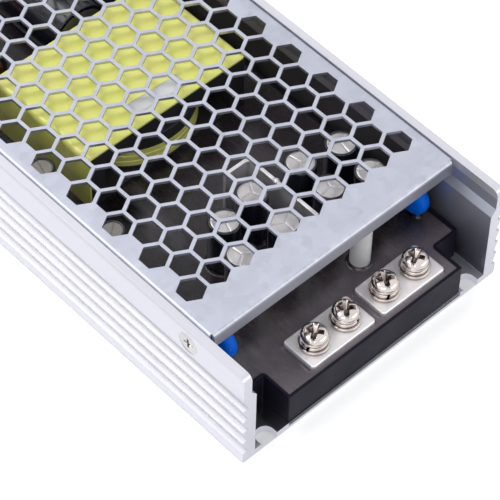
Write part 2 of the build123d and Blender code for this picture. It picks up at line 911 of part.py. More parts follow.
def build_parts():
    parts = {
        "channel": make_channel(),
        "cover": make_cover(),
        "cover_screws": make_cover_screws(),
        "potting_tray": make_tray(),
        "circuit_board": make_board(),
        "output_terminal_left": make_terminal(terminal_left_x),
        "output_terminal_right": make_terminal(terminal_right_x),
        "indicator_spacer": make_indicator_spacer(),
        "indicator_lamp": make_indicator_lamp(),
        "capacitor_cans": make_capacitor_cans(),
        "capacitor_sleeves": make_capacitor_sleeves(),
        "disc_capacitor_left": make_disc_capacitor(disc_left_place, -1),
        "disc_capacitor_right": make_disc_capacitor(disc_right_place, 1),
        "output_busbar": make_busbar(),
        "transformer_core": make_core(),
        "transformer_bobbin": make_bobbin(),
        "transformer_winding": make_winding(),
        "transformer_tape": make_core_tape(),
        "transformer_label": make_label(),
        "boost_choke_core": make_boost_core(),
        "boost_choke_winding": make_boost_winding(),
        "bulk_capacitor_cans": make_bulk_cans(),
        "bulk_capacitor_sleeves": make_bulk_sleeves(),
        "filter_choke_core": make_filter_core(),
        "filter_choke_windings": make_filter_windings(),
        "primary_heatsink": make_heatsink(),
        "switching_transistors": make_transistors(),
        "bridge_rectifier": make_rectifier(),
        "film_capacitor": make_film_capacitor(),
        "input_fuse": make_fuse(),
        "thermistor": make_thermistor(),
        "input_terminal_block": make_block(),
        "input_contacts": make_input_contacts(),
    }
    potted_names = (
        "circuit_board", "disc_capacitor_left", "disc_capacitor_right", "output_busbar",
        "boost_choke_core", "boost_choke_winding", "filter_choke_core", "filter_choke_windings",
        "primary_heatsink", "switching_transistors", "bridge_rectifier",
        "film_capacitor", "input_fuse", "thermistor",
    )
    potted = [solid for name in potted_names for solid in as_solids(parts[name])]
    parts["potting_compound"] = make_potting(potted)
    screw_places_x = terminal_screw_x(terminal_left_x) + terminal_screw_x(terminal_right_x)
    for number, x in enumerate(screw_places_x, start=1):
        base = Pos(x, from_front(terminal_end_distance), terminal_top)
        spring_base = base * Pos(0, 0, washer_thickness)
        parts[f"flat_washer_{number}"] = base * make_flat_washer()
        parts[f"spring_washer_{number}"] = spring_base * make_spring_washer()
        screw_base = spring_base * Pos(0, 0, spring_washer_thickness)
        parts[f"output_screw_{number}"] = screw_base * pan_screw(screw_length)
    for number, x in enumerate(pole_positions_x(), start=1):
        parts[f"clamp_plate_{number}"] = make_clamp_plate(x)
        parts[f"input_screw_{number}"] = make_input_screw(x)
    return parts


parts = build_parts()
os.makedirs("parts", exist_ok=True)
for name, shape in parts.items():
    solids = as_solids(shape)
    export_step(Compound(children=solids) if len(solids) > 1 else solids[0], f"parts/{name}.step")
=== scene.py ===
import json
import math

import bmesh
import bpy
from mathutils import Matrix, Quaternion, Vector


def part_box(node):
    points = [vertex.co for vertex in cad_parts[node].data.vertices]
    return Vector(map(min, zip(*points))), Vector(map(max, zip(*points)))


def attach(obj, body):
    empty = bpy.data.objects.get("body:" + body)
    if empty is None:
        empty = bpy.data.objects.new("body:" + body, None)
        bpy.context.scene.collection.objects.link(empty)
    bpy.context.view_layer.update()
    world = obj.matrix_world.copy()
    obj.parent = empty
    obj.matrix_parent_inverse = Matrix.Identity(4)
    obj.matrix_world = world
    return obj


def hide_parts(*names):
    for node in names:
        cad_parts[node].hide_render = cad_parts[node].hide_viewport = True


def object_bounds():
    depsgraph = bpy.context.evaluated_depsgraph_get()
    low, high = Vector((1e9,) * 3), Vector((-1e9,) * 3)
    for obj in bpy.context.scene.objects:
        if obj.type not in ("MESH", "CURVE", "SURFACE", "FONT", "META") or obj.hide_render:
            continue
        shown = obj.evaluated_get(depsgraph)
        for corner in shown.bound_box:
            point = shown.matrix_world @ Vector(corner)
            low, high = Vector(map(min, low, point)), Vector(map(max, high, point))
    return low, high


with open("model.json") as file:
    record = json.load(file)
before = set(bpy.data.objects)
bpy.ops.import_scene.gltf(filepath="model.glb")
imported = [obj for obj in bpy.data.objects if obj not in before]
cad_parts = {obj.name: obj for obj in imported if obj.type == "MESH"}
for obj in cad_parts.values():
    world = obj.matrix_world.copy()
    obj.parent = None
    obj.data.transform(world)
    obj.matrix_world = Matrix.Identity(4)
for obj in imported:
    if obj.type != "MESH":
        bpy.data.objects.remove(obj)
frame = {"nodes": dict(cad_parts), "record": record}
cad_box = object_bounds()

MM = 0.001
HOUSING = "housing"
NODES = frame["nodes"]
SLOTS = {entry["node"]: entry["material_slot"] for entry in frame["record"]["subparts"]}
HALF_LENGTH = (cad_box[1][1] - cad_box[0][1]) / 2 / MM


# Shader helpers

def new_material(name):
    material = bpy.data.materials.new(name)
    material.use_nodes = True
    tree = material.node_tree
    return material, tree, tree.nodes["Principled BSDF"]


def feed(tree, shader, inputs):
    """Sets or links the shader's inputs, each from a constant or from another node's output."""
    for name, value in inputs.items():
        if isinstance(value, bpy.types.NodeSocket):
            tree.links.new(value, shader.inputs[name])
        else:
            shader.inputs[name].default_value = value


def object_vector(tree, stretch=(1, 1, 1)):
    coordinate = tree.nodes.new("ShaderNodeTexCoord")
    mapping = tree.nodes.new("ShaderNodeMapping")
    mapping.inputs["Scale"].default_value = stretch
    tree.links.new(coordinate.outputs["Object"], mapping.inputs["Vector"])
    return mapping.outputs["Vector"]


def separated(tree, vector):
    node = tree.nodes.new("ShaderNodeSeparateXYZ")
    tree.links.new(vector, node.inputs["Vector"])
    return [node.outputs[axis] for axis in "XYZ"]


def noise_value(tree, vector, scale, detail, roughness=0.55):
    node = tree.nodes.new("ShaderNodeTexNoise")
    feed(tree, node, {"Vector": vector, "Scale": scale, "Detail": detail, "Roughness": roughness})
    return node.outputs["Fac"]


def cell_value(tree, vector, scale):
    """The brightness of Voronoi cells, one value a cell."""
    cells = tree.nodes.new("ShaderNodeTexVoronoi")
    feed(tree, cells, {"Vector": vector, "Scale": scale})
    grey = tree.nodes.new("ShaderNodeRGBToBW")
    tree.links.new(cells.outputs["Color"], grey.inputs["Color"])
    return grey.outputs["Val"]


def ramp(tree, value, stops):
    node = tree.nodes.new("ShaderNodeValToRGB")
    elements = node.color_ramp.elements
    while len(elements) < len(stops):
        elements.new(0.5)
    for element, (position, colour) in zip(elements, stops):
        element.position = position
        element.color = (*colour, 1.0)
    tree.links.new(value, node.inputs["Fac"])
    return node.outputs["Color"]


def span(tree, value, low, high, start=0.0, end=1.0):
    """The value's way from start to end, as a number from low to high."""
    node = tree.nodes.new("ShaderNodeMapRange")
    feed(tree, node, {"Value": value, "From Min": start, "From Max": end, "To Min": low, "To Max": high})
    return node.outputs["Result"]


def calculated(tree, operation, first, second=0):
    node = tree.nodes.new("ShaderNodeMath")
    node.operation = operation
    for socket, value in zip(node.inputs, (first, second)):
        if isinstance(value, (int, float)):
            socket.default_value = value
        else:
            tree.links.new(value, socket)
    return node.outputs["Value"]


def product(tree, *values):
    result = values[0]
    for value in values[1:]:
        result = calculated(tree, "MULTIPLY", result, value)
    return result


def total(tree, *values):
    result = values[0]
    for value in values[1:]:
        result = calculated(tree, "ADD", result, value)
    return result


def distance_from_zero(tree, value):
    return calculated(tree, "ABSOLUTE", value)


def below(tree, value, limit):
    return calculated(tree, "LESS_THAN", value, limit)


def above(tree, value, limit):
    return calculated(tree, "GREATER_THAN", value, limit)


def between(tree, value, low, high):
    return product(tree, above(tree, value, low), below(tree, value, high))


def mixed(tree, factor, first, second):
    node = tree.nodes.new("ShaderNodeMix")
    node.data_type = "RGBA"
    tree.links.new(factor, node.inputs["Factor"])
    for name, value in (("A", first), ("B", second)):
        socket = [s for s in node.inputs if s.name == name and s.type == "RGBA"][0]
        if isinstance(value, tuple):
            socket.default_value = (*value, 1.0)
        else:
            tree.links.new(value, socket)
    return [s for s in node.outputs if s.type == "RGBA"][0]


def bumped(tree, shader, height, strength, distance, earlier=None):
    node = tree.nodes.new("ShaderNodeBump")
    feed(tree, node, {"Height": height, "Strength": strength, "Distance": distance})
    if earlier is not None:
        tree.links.new(earlier, node.inputs["Normal"])
    tree.links.new(node.outputs["Normal"], shader.inputs["Normal"])
    return node.outputs["Normal"]


def shade(colour, factor):
    return tuple(min(1.0, channel * factor) for channel in colour)


# Borders of the zones that a material treats apart, in metres from the object's middle or its underside

# Rib zone: painted shade on the ribs' upward flanks, painted light on their downward faces.
RIB_ROOT = 0.0375
RIBS_LOW, RIBS_HIGH = 0.0002, 0.0245
# Outer side faces beyond this get painted light.
OUTER_FACE = 0.0385
FLOOR_SKIN, INNER_WALL_HIGH = 0.0021, 0.0285
# Painted shade on the inner faces, darkest at WALL_DARK and light from WALL_LIGHT up.
WALL_DARK, WALL_LIGHT = 0.004, 0.022
# Ledge zone with painted shade under the cover, fading out between LEDGE_DARK and LEDGE_CLEAR.
LEDGE_INNER, LEDGE_OUTER = 0.0335, 0.0387
LEDGE_LOW, LEDGE_HIGH = 0.004, 0.0292
LEDGE_DARK, LEDGE_CLEAR = 0.094, 0.1035
# End-pocket zone with painted shade on the channel floor.
POCKET_HIGH, POCKET_START = 0.0024, 0.1
POCKET_DARK_X, POCKET_LIGHT_X = -0.01, 0.03
# Foot zone with a painted shadow low on the end faces.
FOOT_LOW, FOOT_HIGH, FOOT_START = 0.0010, 0.00195, 0.11575
FOOT_LEFT, FOOT_RIGHT = -0.0262, 0.0289
# Painted highlight on the cover's end bends.
BEND_START, BEND_FULL = 0.1013, 0.1019
# Painted shade on the cover's end lips.
LIP_START, LIP_FULL = 0.10235, 0.1026
# Potting turns to its painted shade under the cover between these.
COVERED_END, BAY_START = 0.098, 0.1045
# Extent of the painted shadow on the floor under the object.
SHADOW_HALF_X, SHADOW_HALF_Y = 0.0404, 0.1159


# Materials

def extruded_aluminium():
    """Satin outside and smoother on the inner faces, with painted shade on the ribs' upper flanks, the inner
    faces, the ledge under the cover, the end pockets and a band low on the end faces, and painted light on
    the ribs' undersides and the outer faces.
    """
    material, tree, shader = new_material("extruded_aluminium")
    base = (0.72, 0.715, 0.785)
    long_grain = noise_value(tree, object_vector(tree, (1, 0.012, 1)), 1500, 4)
    cloud = noise_value(tree, object_vector(tree), 25, 3)
    both = total(tree, product(tree, long_grain, 0.5), product(tree, cloud, 0.5))
    x, y, z = separated(tree, object_vector(tree))
    facing = separated(tree, tree.nodes.new("ShaderNodeNewGeometry").outputs["True Normal"])
    outwards = product(tree, x, facing[0])
    out = distance_from_zero(tree, x)
    along = distance_from_zero(tree, y)
    ribbed = product(tree, above(tree, out, RIB_ROOT), between(tree, z, RIBS_LOW, RIBS_HIGH))
    # Painted shade: the ribs' upward flanks get a darker colour.
    rib_flank_painted_shade = product(tree, ribbed, above(tree, facing[2], 0.4))
    # Painted light: the ribs' downward faces get a near-white colour.
    under = product(tree, ribbed, below(tree, facing[2], -0.2))
    inner = product(tree, below(tree, outwards, -0.012), between(tree, z, FLOOR_SKIN, INNER_WALL_HIGH))
    # Painted shade: the inner faces run from near black by the floor to light higher up.
    wall = mixed(tree, span(tree, z, 0, 1, WALL_DARK, WALL_LIGHT), (0.08, 0.08, 0.11), (0.44, 0.46, 0.54))
    # Painted shade on the ledge under the cover.
    ledge = product(
        tree,
        between(tree, out, LEDGE_INNER, LEDGE_OUTER),
        between(tree, z, LEDGE_LOW, LEDGE_HIGH),
        span(tree, along, 1, 0, LEDGE_DARK, LEDGE_CLEAR),
    )
    # Painted shade on the channel floor at the ends, strongest towards -X; this floor is also smoother and
    # more metallic.
    end_pocket_painted_shade = product(
        tree,
        below(tree, z, POCKET_HIGH),
        above(tree, facing[2], 0.9),
        above(tree, along, POCKET_START),
        span(tree, x, 1, 0.25, POCKET_DARK_X, POCKET_LIGHT_X),
    )
    # Painted shadow: a near-black, non-metallic band low on the end faces beside the tray.
    foot = product(
        tree,
        between(tree, z, FOOT_LOW, FOOT_HIGH),
        above(tree, along, FOOT_START),
        between(tree, x, FOOT_LEFT, FOOT_RIGHT),
    )
    colour = ramp(tree, both, [(0.3, shade(base, 0.95)), (0.7, shade(base, 1.03))])
    for zone, tint in (
        (rib_flank_painted_shade, shade(base, 0.73)),
        (under, (1.0, 0.995, 1.0)),
        # Painted light: the outer side faces are brightened.
        (above(tree, outwards, OUTER_FACE), shade(base, 1.09)),
        (inner, wall),
        (ledge, (0.13, 0.12, 0.13)),
        (end_pocket_painted_shade, (0.42, 0.42, 0.48)),
        (foot, (0.010, 0.008, 0.018)),
    ):
        colour = mixed(tree, zone, colour, tint)
    satin = span(tree, both, 0.30, 0.42, 0.3, 0.7)
    smoother = total(tree, product(tree, inner, 0.06), product(tree, end_pocket_painted_shade, 0.2))
    metal = total(tree, span(tree, inner, 0.66, 0.60), product(tree, end_pocket_painted_shade, 0.34))
    feed(tree, shader, {
        "Base Color": colour,
        "Roughness": calculated(tree, "SUBTRACT", satin, smoother),
        "Metallic": product(tree, metal, span(tree, foot, 1, 0)),
    })
    grain = noise_value(tree, object_vector(tree), 5200, 2)
    first = bumped(tree, shader, long_grain, 0.25, 0.00004)
    bumped(tree, shader, grain, 0.15, 0.00002, first)
    return material


def galvanised_steel():
    """Spangled sheet with scuffs, a streaky painted highlight on its end bends and painted shade on its end
    lips.
    """
    material, tree, shader = new_material("galvanised_steel")
    base = (0.52, 0.535, 0.63)
    vector = object_vector(tree)
    speck = noise_value(tree, vector, 3200, 3)
    value = total(
        tree,
        product(tree, cell_value(tree, vector, 420), 0.22),
        product(tree, noise_value(tree, vector, 60, 4), 0.38),
        product(tree, speck, 0.22),
        product(tree, noise_value(tree, object_vector(tree, (0.02, 1, 1)), 900, 3), 0.18),
    )
    scuff = noise_value(tree, object_vector(tree, (1, 2.6, 1)), 330, 6, 0.72)
    patch = noise_value(tree, vector, 70, 2)
    scuffed = product(tree, span(tree, scuff, 0, 1, 0.66, 0.74), span(tree, patch, 0, 1, 0.5, 0.62))
    end = distance_from_zero(tree, separated(tree, vector)[1])
    # Painted highlight along the end bends, broken into streaks by noise.
    bend_streak_noise = noise_value(tree, object_vector(tree, (1, 0.15, 0.15)), 500, 4, 0.6)
    bend_highlight_streaks = span(tree, bend_streak_noise, 0.0, 0.6, 0.38, 0.6)
    bend_painted_highlight = product(tree, span(tree, end, 0, 1, BEND_START, BEND_FULL), bend_highlight_streaks)
    colour = ramp(tree, value, [(0.3, shade(base, 0.88)), (0.5, base), (0.72, shade(base, 1.12))])
    for zone, tint in (
        (scuffed, shade(base, 1.5)),
        (bend_painted_highlight, (0.70, 0.70, 0.76)),
        # Painted shade on the end lips.
        (span(tree, end, 0, 1, LIP_START, LIP_FULL), (0.30, 0.305, 0.36)),
    ):
        colour = mixed(tree, zone, colour, tint)
    feed(tree, shader, {
        "Base Color": colour,
        "Roughness": span(tree, value, 0.34, 0.48, 0.3, 0.7),
        "Metallic": 0.85,
    })
    first = bumped(tree, shader, speck, 0.25, 0.00003)
    bumped(tree, shader, scuffed, 0.3, 0.00004, first)
    return material


def plated(name, base, rough_low, rough_high, grain_scale, grain_depth, metallic, recess_shade_reach=0.0):
    """Plated metal with a fine grain, faint stains and, where asked, painted shade in recesses up to that
    wide.
    """
    material, tree, shader = new_material(name)
    vector = object_vector(tree)
    stain = noise_value(tree, vector, 260, 4, 0.6)
    colour = ramp(tree, stain, [(0.3, shade(base, 0.9)), (0.7, shade(base, 1.06))])
    if recess_shade_reach:
        # Painted shade: ambient occlusion darkens the colour in recesses.
        recess_occlusion = tree.nodes.new("ShaderNodeAmbientOcclusion")
        recess_occlusion.samples = 8
        recess_occlusion.inputs["Distance"].default_value = recess_shade_reach
        colour = mixed(tree, span(tree, recess_occlusion.outputs["AO"], 1, 0, 0.35, 0.92), colour, (0.19, 0.155, 0.14))
    roughness = span(tree, stain, rough_low, rough_high, 0.3, 0.7)
    feed(tree, shader, {"Base Color": colour, "Roughness": roughness, "Metallic": metallic})
    bumped(tree, shader, noise_value(tree, vector, grain_scale, 3), 0.3, grain_depth)
    return material


def moulded(name, base, roughness, grain_scale=2600, grain_depth=0.00003, coat=0.0, gloss=0.5):
    """Moulded or cast plastic with a fine texture and uneven gloss."""
    material, tree, shader = new_material(name)
    vector = object_vector(tree)
    cloud = noise_value(tree, vector, 120, 4)
    feed(tree, shader, {
        "Base Color": ramp(tree, cloud, [(0.3, shade(base, 0.85)), (0.7, shade(base, 1.15))]),
        "Roughness": span(tree, cloud, roughness - 0.06, roughness + 0.06, 0.3, 0.7),
        "Coat Weight": coat,
        "Specular IOR Level": gloss,
    })
    bumped(tree, shader, noise_value(tree, vector, grain_scale, 3), 0.3, grain_depth)
    return material


def silicone_potting():
    """Poured compound, grey-brown in the open bays and near black under the cover by painted shade, with
    faint streaks.
    """
    material, tree, shader = new_material("silicone_potting")
    vector = object_vector(tree)
    cloud = noise_value(tree, vector, 45, 4)
    ripple = noise_value(tree, vector, 75, 2, 0.4)
    fine = noise_value(tree, object_vector(tree, (1, 0.35, 1)), 900, 5, 0.7)
    streak = noise_value(tree, object_vector(tree, (1, 0.3, 1)), 110, 3, 0.5)
    bay = ramp(tree, cloud, [
        (0.3, (0.095, 0.080, 0.093)), (0.55, (0.16, 0.132, 0.155)), (0.75, (0.23, 0.195, 0.225)),
    ])
    # Painted shade: the compound under the cover gets a near-black colour.
    under_cover_painted_shade = ramp(tree, cloud, [
        (0.35, (0.008, 0.006, 0.008)), (0.55, (0.033, 0.025, 0.031)), (0.78, (0.076, 0.062, 0.071)),
    ])
    end = distance_from_zero(tree, separated(tree, vector)[1])
    plain = mixed(tree, span(tree, end, 1, 0, COVERED_END, BAY_START), bay, under_cover_painted_shade)
    feed(tree, shader, {
        "Base Color": mixed(tree, span(tree, streak, 0, 0.5, 0.60, 0.74), plain, (0.24, 0.225, 0.25)),
        "Roughness": span(tree, fine, 0.15, 0.34, 0.35, 0.7),
    })
    first = bumped(tree, shader, ripple, 0.4, 0.0006)
    bumped(tree, shader, fine, 0.08, 0.00008, first)
    return material


def wrapped_tape():
    material, tree, shader = new_material("wrapped_tape")
    cloud = noise_value(tree, object_vector(tree), 90, 4)
    fibre = noise_value(tree, object_vector(tree, (0.05, 1, 1)), 1600, 3)
    feed(tree, shader, {
        "Base Color": ramp(tree, cloud, [
            (0.3, (0.95, 0.98, 0.22)), (0.55, (0.98, 0.96, 0.25)), (0.75, (0.99, 0.95, 0.30)),
        ]),
        "Roughness": span(tree, cloud, 0.28, 0.42, 0.3, 0.7),
        "Subsurface Weight": 0.12,
        "Subsurface Radius": (0.0008, 0.0007, 0.0002),
        "Coat Weight": 0.7,
        "Coat Roughness": 0.16,
    })
    first = bumped(tree, shader, cloud, 0.15, 0.0001)
    bumped(tree, shader, fibre, 0.15, 0.00003, first)
    return material


def red_lens():
    material, tree, shader = new_material("red_lens")
    cloud = noise_value(tree, object_vector(tree), 500, 2)
    feed(tree, shader, {
        "Base Color": ramp(tree, cloud, [(0.3, (0.72, 0.012, 0.02)), (0.7, (0.88, 0.03, 0.03))]),
        "Roughness": 0.12,
        "Transmission Weight": 0.45,
        "IOR": 1.5,
    })
    bumped(tree, shader, cloud, 0.1, 0.00002)
    return material


def nylon_white():
    material, tree, shader = new_material("nylon_white")
    cloud = noise_value(tree, object_vector(tree), 220, 3)
    feed(tree, shader, {
        "Base Color": ramp(tree, cloud, [(0.3, (0.66, 0.66, 0.67)), (0.7, (0.76, 0.76, 0.76))]),
        "Roughness": span(tree, cloud, 0.34, 0.46, 0.3, 0.7),
        "Subsurface Weight": 0.25,
        "Subsurface Radius": (0.001, 0.001, 0.001),
    })
    bumped(tree, shader, cloud, 0.2, 0.00005)
    return material


MATERIALS = {
    "channel_aluminium": extruded_aluminium(),
    "cover_steel": galvanised_steel(),
    "plated_steel": plated("bright_nickel", (0.74, 0.675, 0.645), 0.10, 0.20, 3000, 0.00003, 1.0, 2.6 * MM),
    "tinned_copper": plated("satin_tin", (0.93, 0.905, 0.925), 0.34, 0.46, 2400, 0.00003, 0.65),
    "tray_plastic": moulded("tray_plastic", (0.008, 0.0065, 0.016), 0.5, gloss=0.15),
    "potting": silicone_potting(),
    "board": moulded("board_laminate", (0.05, 0.16, 0.06), 0.4),
    "spacer_plastic": nylon_white(),
    "lamp_red": red_lens(),
    "can_aluminium": plated("can_aluminium", (0.60, 0.58, 0.585), 0.30, 0.42, 1800, 0.00002, 0.8),
    "sleeve_black": moulded("shrunk_sleeve", (0.010, 0.012, 0.022), 0.24, 900, 0.00003, 0.3),
    "disc_blue": moulded("blue_epoxy", (0.0, 0.155, 0.90), 0.30, 300, 0.00006, 0.0, 0.12),
    "ferrite": moulded("ferrite", (0.018, 0.018, 0.021), 0.55, 3400, 0.00005),
    "tape_yellow": wrapped_tape(),
    "label_paper": moulded("label_paper", (0.80, 0.80, 0.82), 0.6, 3000, 0.00004),
    "copper_wire": plated("enamelled_copper", (0.55, 0.22, 0.08), 0.18, 0.3, 1500, 0.00002, 0.9),
    "heatsink_aluminium": plated("heatsink_aluminium", (0.62, 0.63, 0.65), 0.32, 0.45, 1500, 0.00003, 0.9),
    "package_black": moulded("package_epoxy", (0.022, 0.022, 0.024), 0.5),
    "film_box": moulded("film_box", (0.24, 0.26, 0.29), 0.4),
    "fuse_ceramic": moulded("fuse_ceramic", (0.72, 0.71, 0.67), 0.3),
    "thermistor_ceramic": moulded("thermistor_coat", (0.03, 0.055, 0.035), 0.45),
    "block_plastic": moulded("block_plastic", (0.026, 0.027, 0.030), 0.38),
}


# Piece helpers

def middle_of(low, high):
    return (low.x + high.x) / 2, (low.y + high.y) / 2, (low.z + high.z) / 2


def linked(name, data):
    item = bpy.data.objects.new(name, data)
    bpy.context.scene.collection.objects.link(item)
    return item


def finished(name, mesh, slot, stands_for=(), angle=35, body=HOUSING, material=None):
    """A piece from a mesh: shaded, with its material, riding on its body."""
    mesh.update()
    for polygon in mesh.polygons:
        polygon.use_smooth = True
    mesh.set_sharp_from_angle(angle=math.radians(angle))
    piece = linked(name, mesh)
    mesh.materials.clear()
    mesh.materials.append(material or MATERIALS[slot])
    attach(piece, body)
    if stands_for:
        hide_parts(*stands_for)
    return piece


def mesh_from(name, points, faces):
    """A mesh from points in millimetres, welded, with its faces turned outwards."""
    mesh = bpy.data.meshes.new(name)
    mesh.from_pydata([Vector(point) * MM for point in points], [], faces)
    form = bmesh.new()
    form.from_mesh(mesh)
    bmesh.ops.remove_doubles(form, verts=form.verts, dist=1e-7)
    bmesh.ops.recalc_face_normals(form, faces=form.faces)
    form.to_mesh(mesh)
    form.free()
    return mesh


def tube_faces(rows, count, loop=False):
    """Faces between rows of points, each row a closed line.  With loop the last row meets the first."""
    faces = []
    for row in range(rows if loop else rows - 1):
        near, far = row * count, (row + 1) % rows * count
        for item in range(count):
            after = (item + 1) % count
            faces.append((near + item, near + after, far + after, far + item))
    return faces


def lathed(name, profile, segments, closed=False):
    """A mesh of a profile of (radius, height) turned round Z.  A closed profile makes a ring."""
    points, rows = [], []
    for radius, level in profile:
        if radius < 1e-6:
            rows.append([len(points)] * segments)
            points.append((0, 0, level))
        else:
            rows.append(list(range(len(points), len(points) + segments)))
            for step in range(segments):
                turn = 2 * math.pi * step / segments
                points.append((radius * math.cos(turn), radius * math.sin(turn), level))
    faces = []
    pairs = list(zip(rows, rows[1:])) + ([(rows[-1], rows[0])] if closed else [])
    for low, high in pairs:
        for step in range(segments):
            after = (step + 1) % segments
            unique = list(dict.fromkeys([low[step], low[after], high[after], high[step]]))
            if len(unique) > 2:
                faces.append(unique)
    return mesh_from(name, points, faces)


def rounded_corner(centre_r, centre_z, radius, start, end, steps):
    """Points on an arc of a profile, angles in degrees."""
    points = []
    for step in range(steps + 1):
        turn = math.radians(start + (end - start) * step / steps)
        points.append((centre_r + radius * math.cos(turn), centre_z + radius * math.sin(turn)))
    return points


def rounded_rectangle(x, y, half_x, half_y, corner, steps):
    points = []
    for side_x, side_y, start in ((1, 1, 0), (-1, 1, 90), (-1, -1, 180), (1, -1, 270)):
        middle_x, middle_y = side_x * (half_x - corner), side_y * (half_y - corner)
        arc = rounded_corner(middle_x, middle_y, corner, start, start + 90, steps)
        points += [(x + across, y + up) for across, up in arc]
    return points


def with_normals(outline):
    """The points of a closed outline, each with the direction to its right."""
    rows = []
    for item, (x, y) in enumerate(outline):
        before, after = outline[item - 1], outline[(item + 1) % len(outline)]
        along = Vector((after[0] - before[0], after[1] - before[1])).normalized()
        rows.append((x, y, along.y, -along.x))
    return rows


def placed(mesh, *transforms):
    """The mesh moved by the transforms, with lengths in metres."""
    for transform in transforms:
        mesh.transform(transform)
    return mesh


def moved(x, y, z):
    return Matrix.Translation((x, y, z))


def turned_about(axis, degrees):
    return Matrix.Rotation(math.radians(degrees), 4, axis)


def joined(name, meshes):
    """One mesh made of several."""
    form = bmesh.new()
    for mesh in meshes:
        form.from_mesh(mesh)
    whole = bpy.data.meshes.new(name)
    form.to_mesh(whole)
    form.free()
    return whole


def clean_copy(node):
    """A welded copy of a CAD node's mesh, with flat faces merged."""
    mesh = NODES[node].data.copy()
    if "custom_normal" in mesh.attributes:
        mesh.attributes.remove(mesh.attributes["custom_normal"])
    form = bmesh.new()
    form.from_mesh(mesh)
    bmesh.ops.remove_doubles(form, verts=form.verts, dist=2e-6)
    bmesh.ops.dissolve_limit(form, angle_limit=math.radians(0.6), verts=form.verts, edges=form.edges)
    form.to_mesh(mesh)
    form.free()
    return mesh


def ease_edges(piece, width, segments=2, limit=30, even_normals=True):
    """Rounds the piece's edges that are sharper than the limit in degrees."""
    modifier = piece.modifiers.new("edges", "BEVEL")
    modifier.width = width * MM
    modifier.segments = segments
    modifier.limit_method = "ANGLE"
    modifier.angle_limit = math.radians(limit)
    modifier.harden_normals = even_normals


def edged(node, width, segments=2, limit=35):
    """A CAD node's shape with its sharp edges slightly rounded."""
    ease_edges(finished(f"{node}_edged", clean_copy(node), SLOTS[node], (node,)), width, segments, limit)


def cut(mesh, cutters, edge=0.05):
    """The mesh with the cutters taken out and the new edges eased."""
    piece = linked("blank", mesh)
    made = [piece]
    for cutter in cutters:
        made.append(linked("cutter", cutter))
        modifier = piece.modifiers.new("cut", "BOOLEAN")
        modifier.object = made[-1]
        modifier.operation = "DIFFERENCE"
        modifier.solver = "EXACT"
    ease_edges(piece, edge, limit=38, even_normals=False)
    bpy.context.view_layer.update()
    graph = bpy.context.evaluated_depsgraph_get()
    result = bpy.data.meshes.new_from_object(piece.evaluated_get(graph))
    for item in made:
        bpy.data.objects.remove(item)
    return result


def tapered_bar(length, width, top, bottom, end_length, end_width):
    """Cutter bar along X that narrows downwards."""
    points = []
    for half_x, half_y, level in ((length / 2, width / 2, top), (end_length / 2, end_width / 2, bottom)):
        points += [(x, y, level) for x, y in (
            (-half_x, -half_y), (half_x, -half_y), (half_x, half_y), (-half_x, half_y),
        )]
    faces = [(0, 1, 2, 3), (7, 6, 5, 4), (0, 4, 5, 1), (1, 5, 6, 2), (2, 6, 7, 3), (3, 7, 4, 0)]
    return mesh_from("bar", points, faces)


# Fasteners, in millimetres

PAN_HEAD_TALL = 2.5
THREAD_CREST, THREAD_ROOT, THREAD_PITCH = 1.66, 1.42, 0.6
OUTPUT_SHANK, INPUT_SHANK = 6.1, 6.0
COVER_SCREW_HEAD = 2.9
WASHER_BORE, FLAT_WASHER_RADIUS, SPRING_WASHER_RADIUS = 1.8, 3.8, 3.3
FLAT_WASHER_TALL, SPRING_WASHER_TALL = 0.8, 1.1


def crossed(arm):
    return [arm, placed(arm.copy(), turned_about("Z", 90))]


def pan_head_mesh(shank_length):
    """Domed head with a slot and cross recess, underside of the head on the XY plane."""
    profile = [(0, -shank_length), (1.25, -shank_length), (1.45, -shank_length + 0.3)]
    level = -shank_length + 0.5
    while level < -THREAD_PITCH:
        profile += [(THREAD_CREST, level), (THREAD_ROOT, level + 0.3)]
        level += THREAD_PITCH
    profile += [(THREAD_CREST, -0.1), (THREAD_CREST, 0), (2.75, 0)]
    profile += rounded_corner(2.80, 0.40, 0.40, -85, 0, 5)
    profile += rounded_corner(2.0, 1.15, 1.25, 0, 66, 10)
    profile += [(2.1, 2.40), (1.5, 2.47), (0.8, PAN_HEAD_TALL), (0, PAN_HEAD_TALL)]
    slot = tapered_bar(8, 0.80, 2.9, 1.95, 8, 0.74)
    cross = crossed(tapered_bar(5.4, 1.45, 2.9, 0.75, 1.6, 0.7))
    return cut(lathed("pan_head", profile, 64), [slot] + cross)


def washer_section(outer, tall, edge):
    """Rounded rectangle that a washer's ring is made of."""
    inner = WASHER_BORE
    section = rounded_corner(outer - edge, edge, edge, -90, 0, 3)
    section += rounded_corner(outer - edge, tall - edge, edge, 0, 90, 3)
    section += rounded_corner(inner + edge, tall - edge, edge, 90, 180, 3)
    return section + rounded_corner(inner + edge, edge, edge, 180, 270, 3)


def spring_washer_mesh():
    """Split ring of square wire, its ends cut slantwise and a little apart."""
    gap, slant, steps = 13, 6, 72
    section = washer_section(SPRING_WASHER_RADIUS, SPRING_WASHER_TALL, 0.26)
    points = []
    for step in range(steps + 1):
        for radius, level in section:
            lean = slant * (level / SPRING_WASHER_TALL - 0.5)
            turn = math.radians(gap / 2 + (360 - gap) * (step / steps) + lean)
            points.append((radius * math.cos(turn), radius * math.sin(turn), level))
    count = len(section)
    faces = tube_faces(steps + 1, count)
    faces.append(tuple(range(count)))
    faces.append(tuple(steps * count + item for item in reversed(range(count))))
    return mesh_from("spring_washer", points, faces)


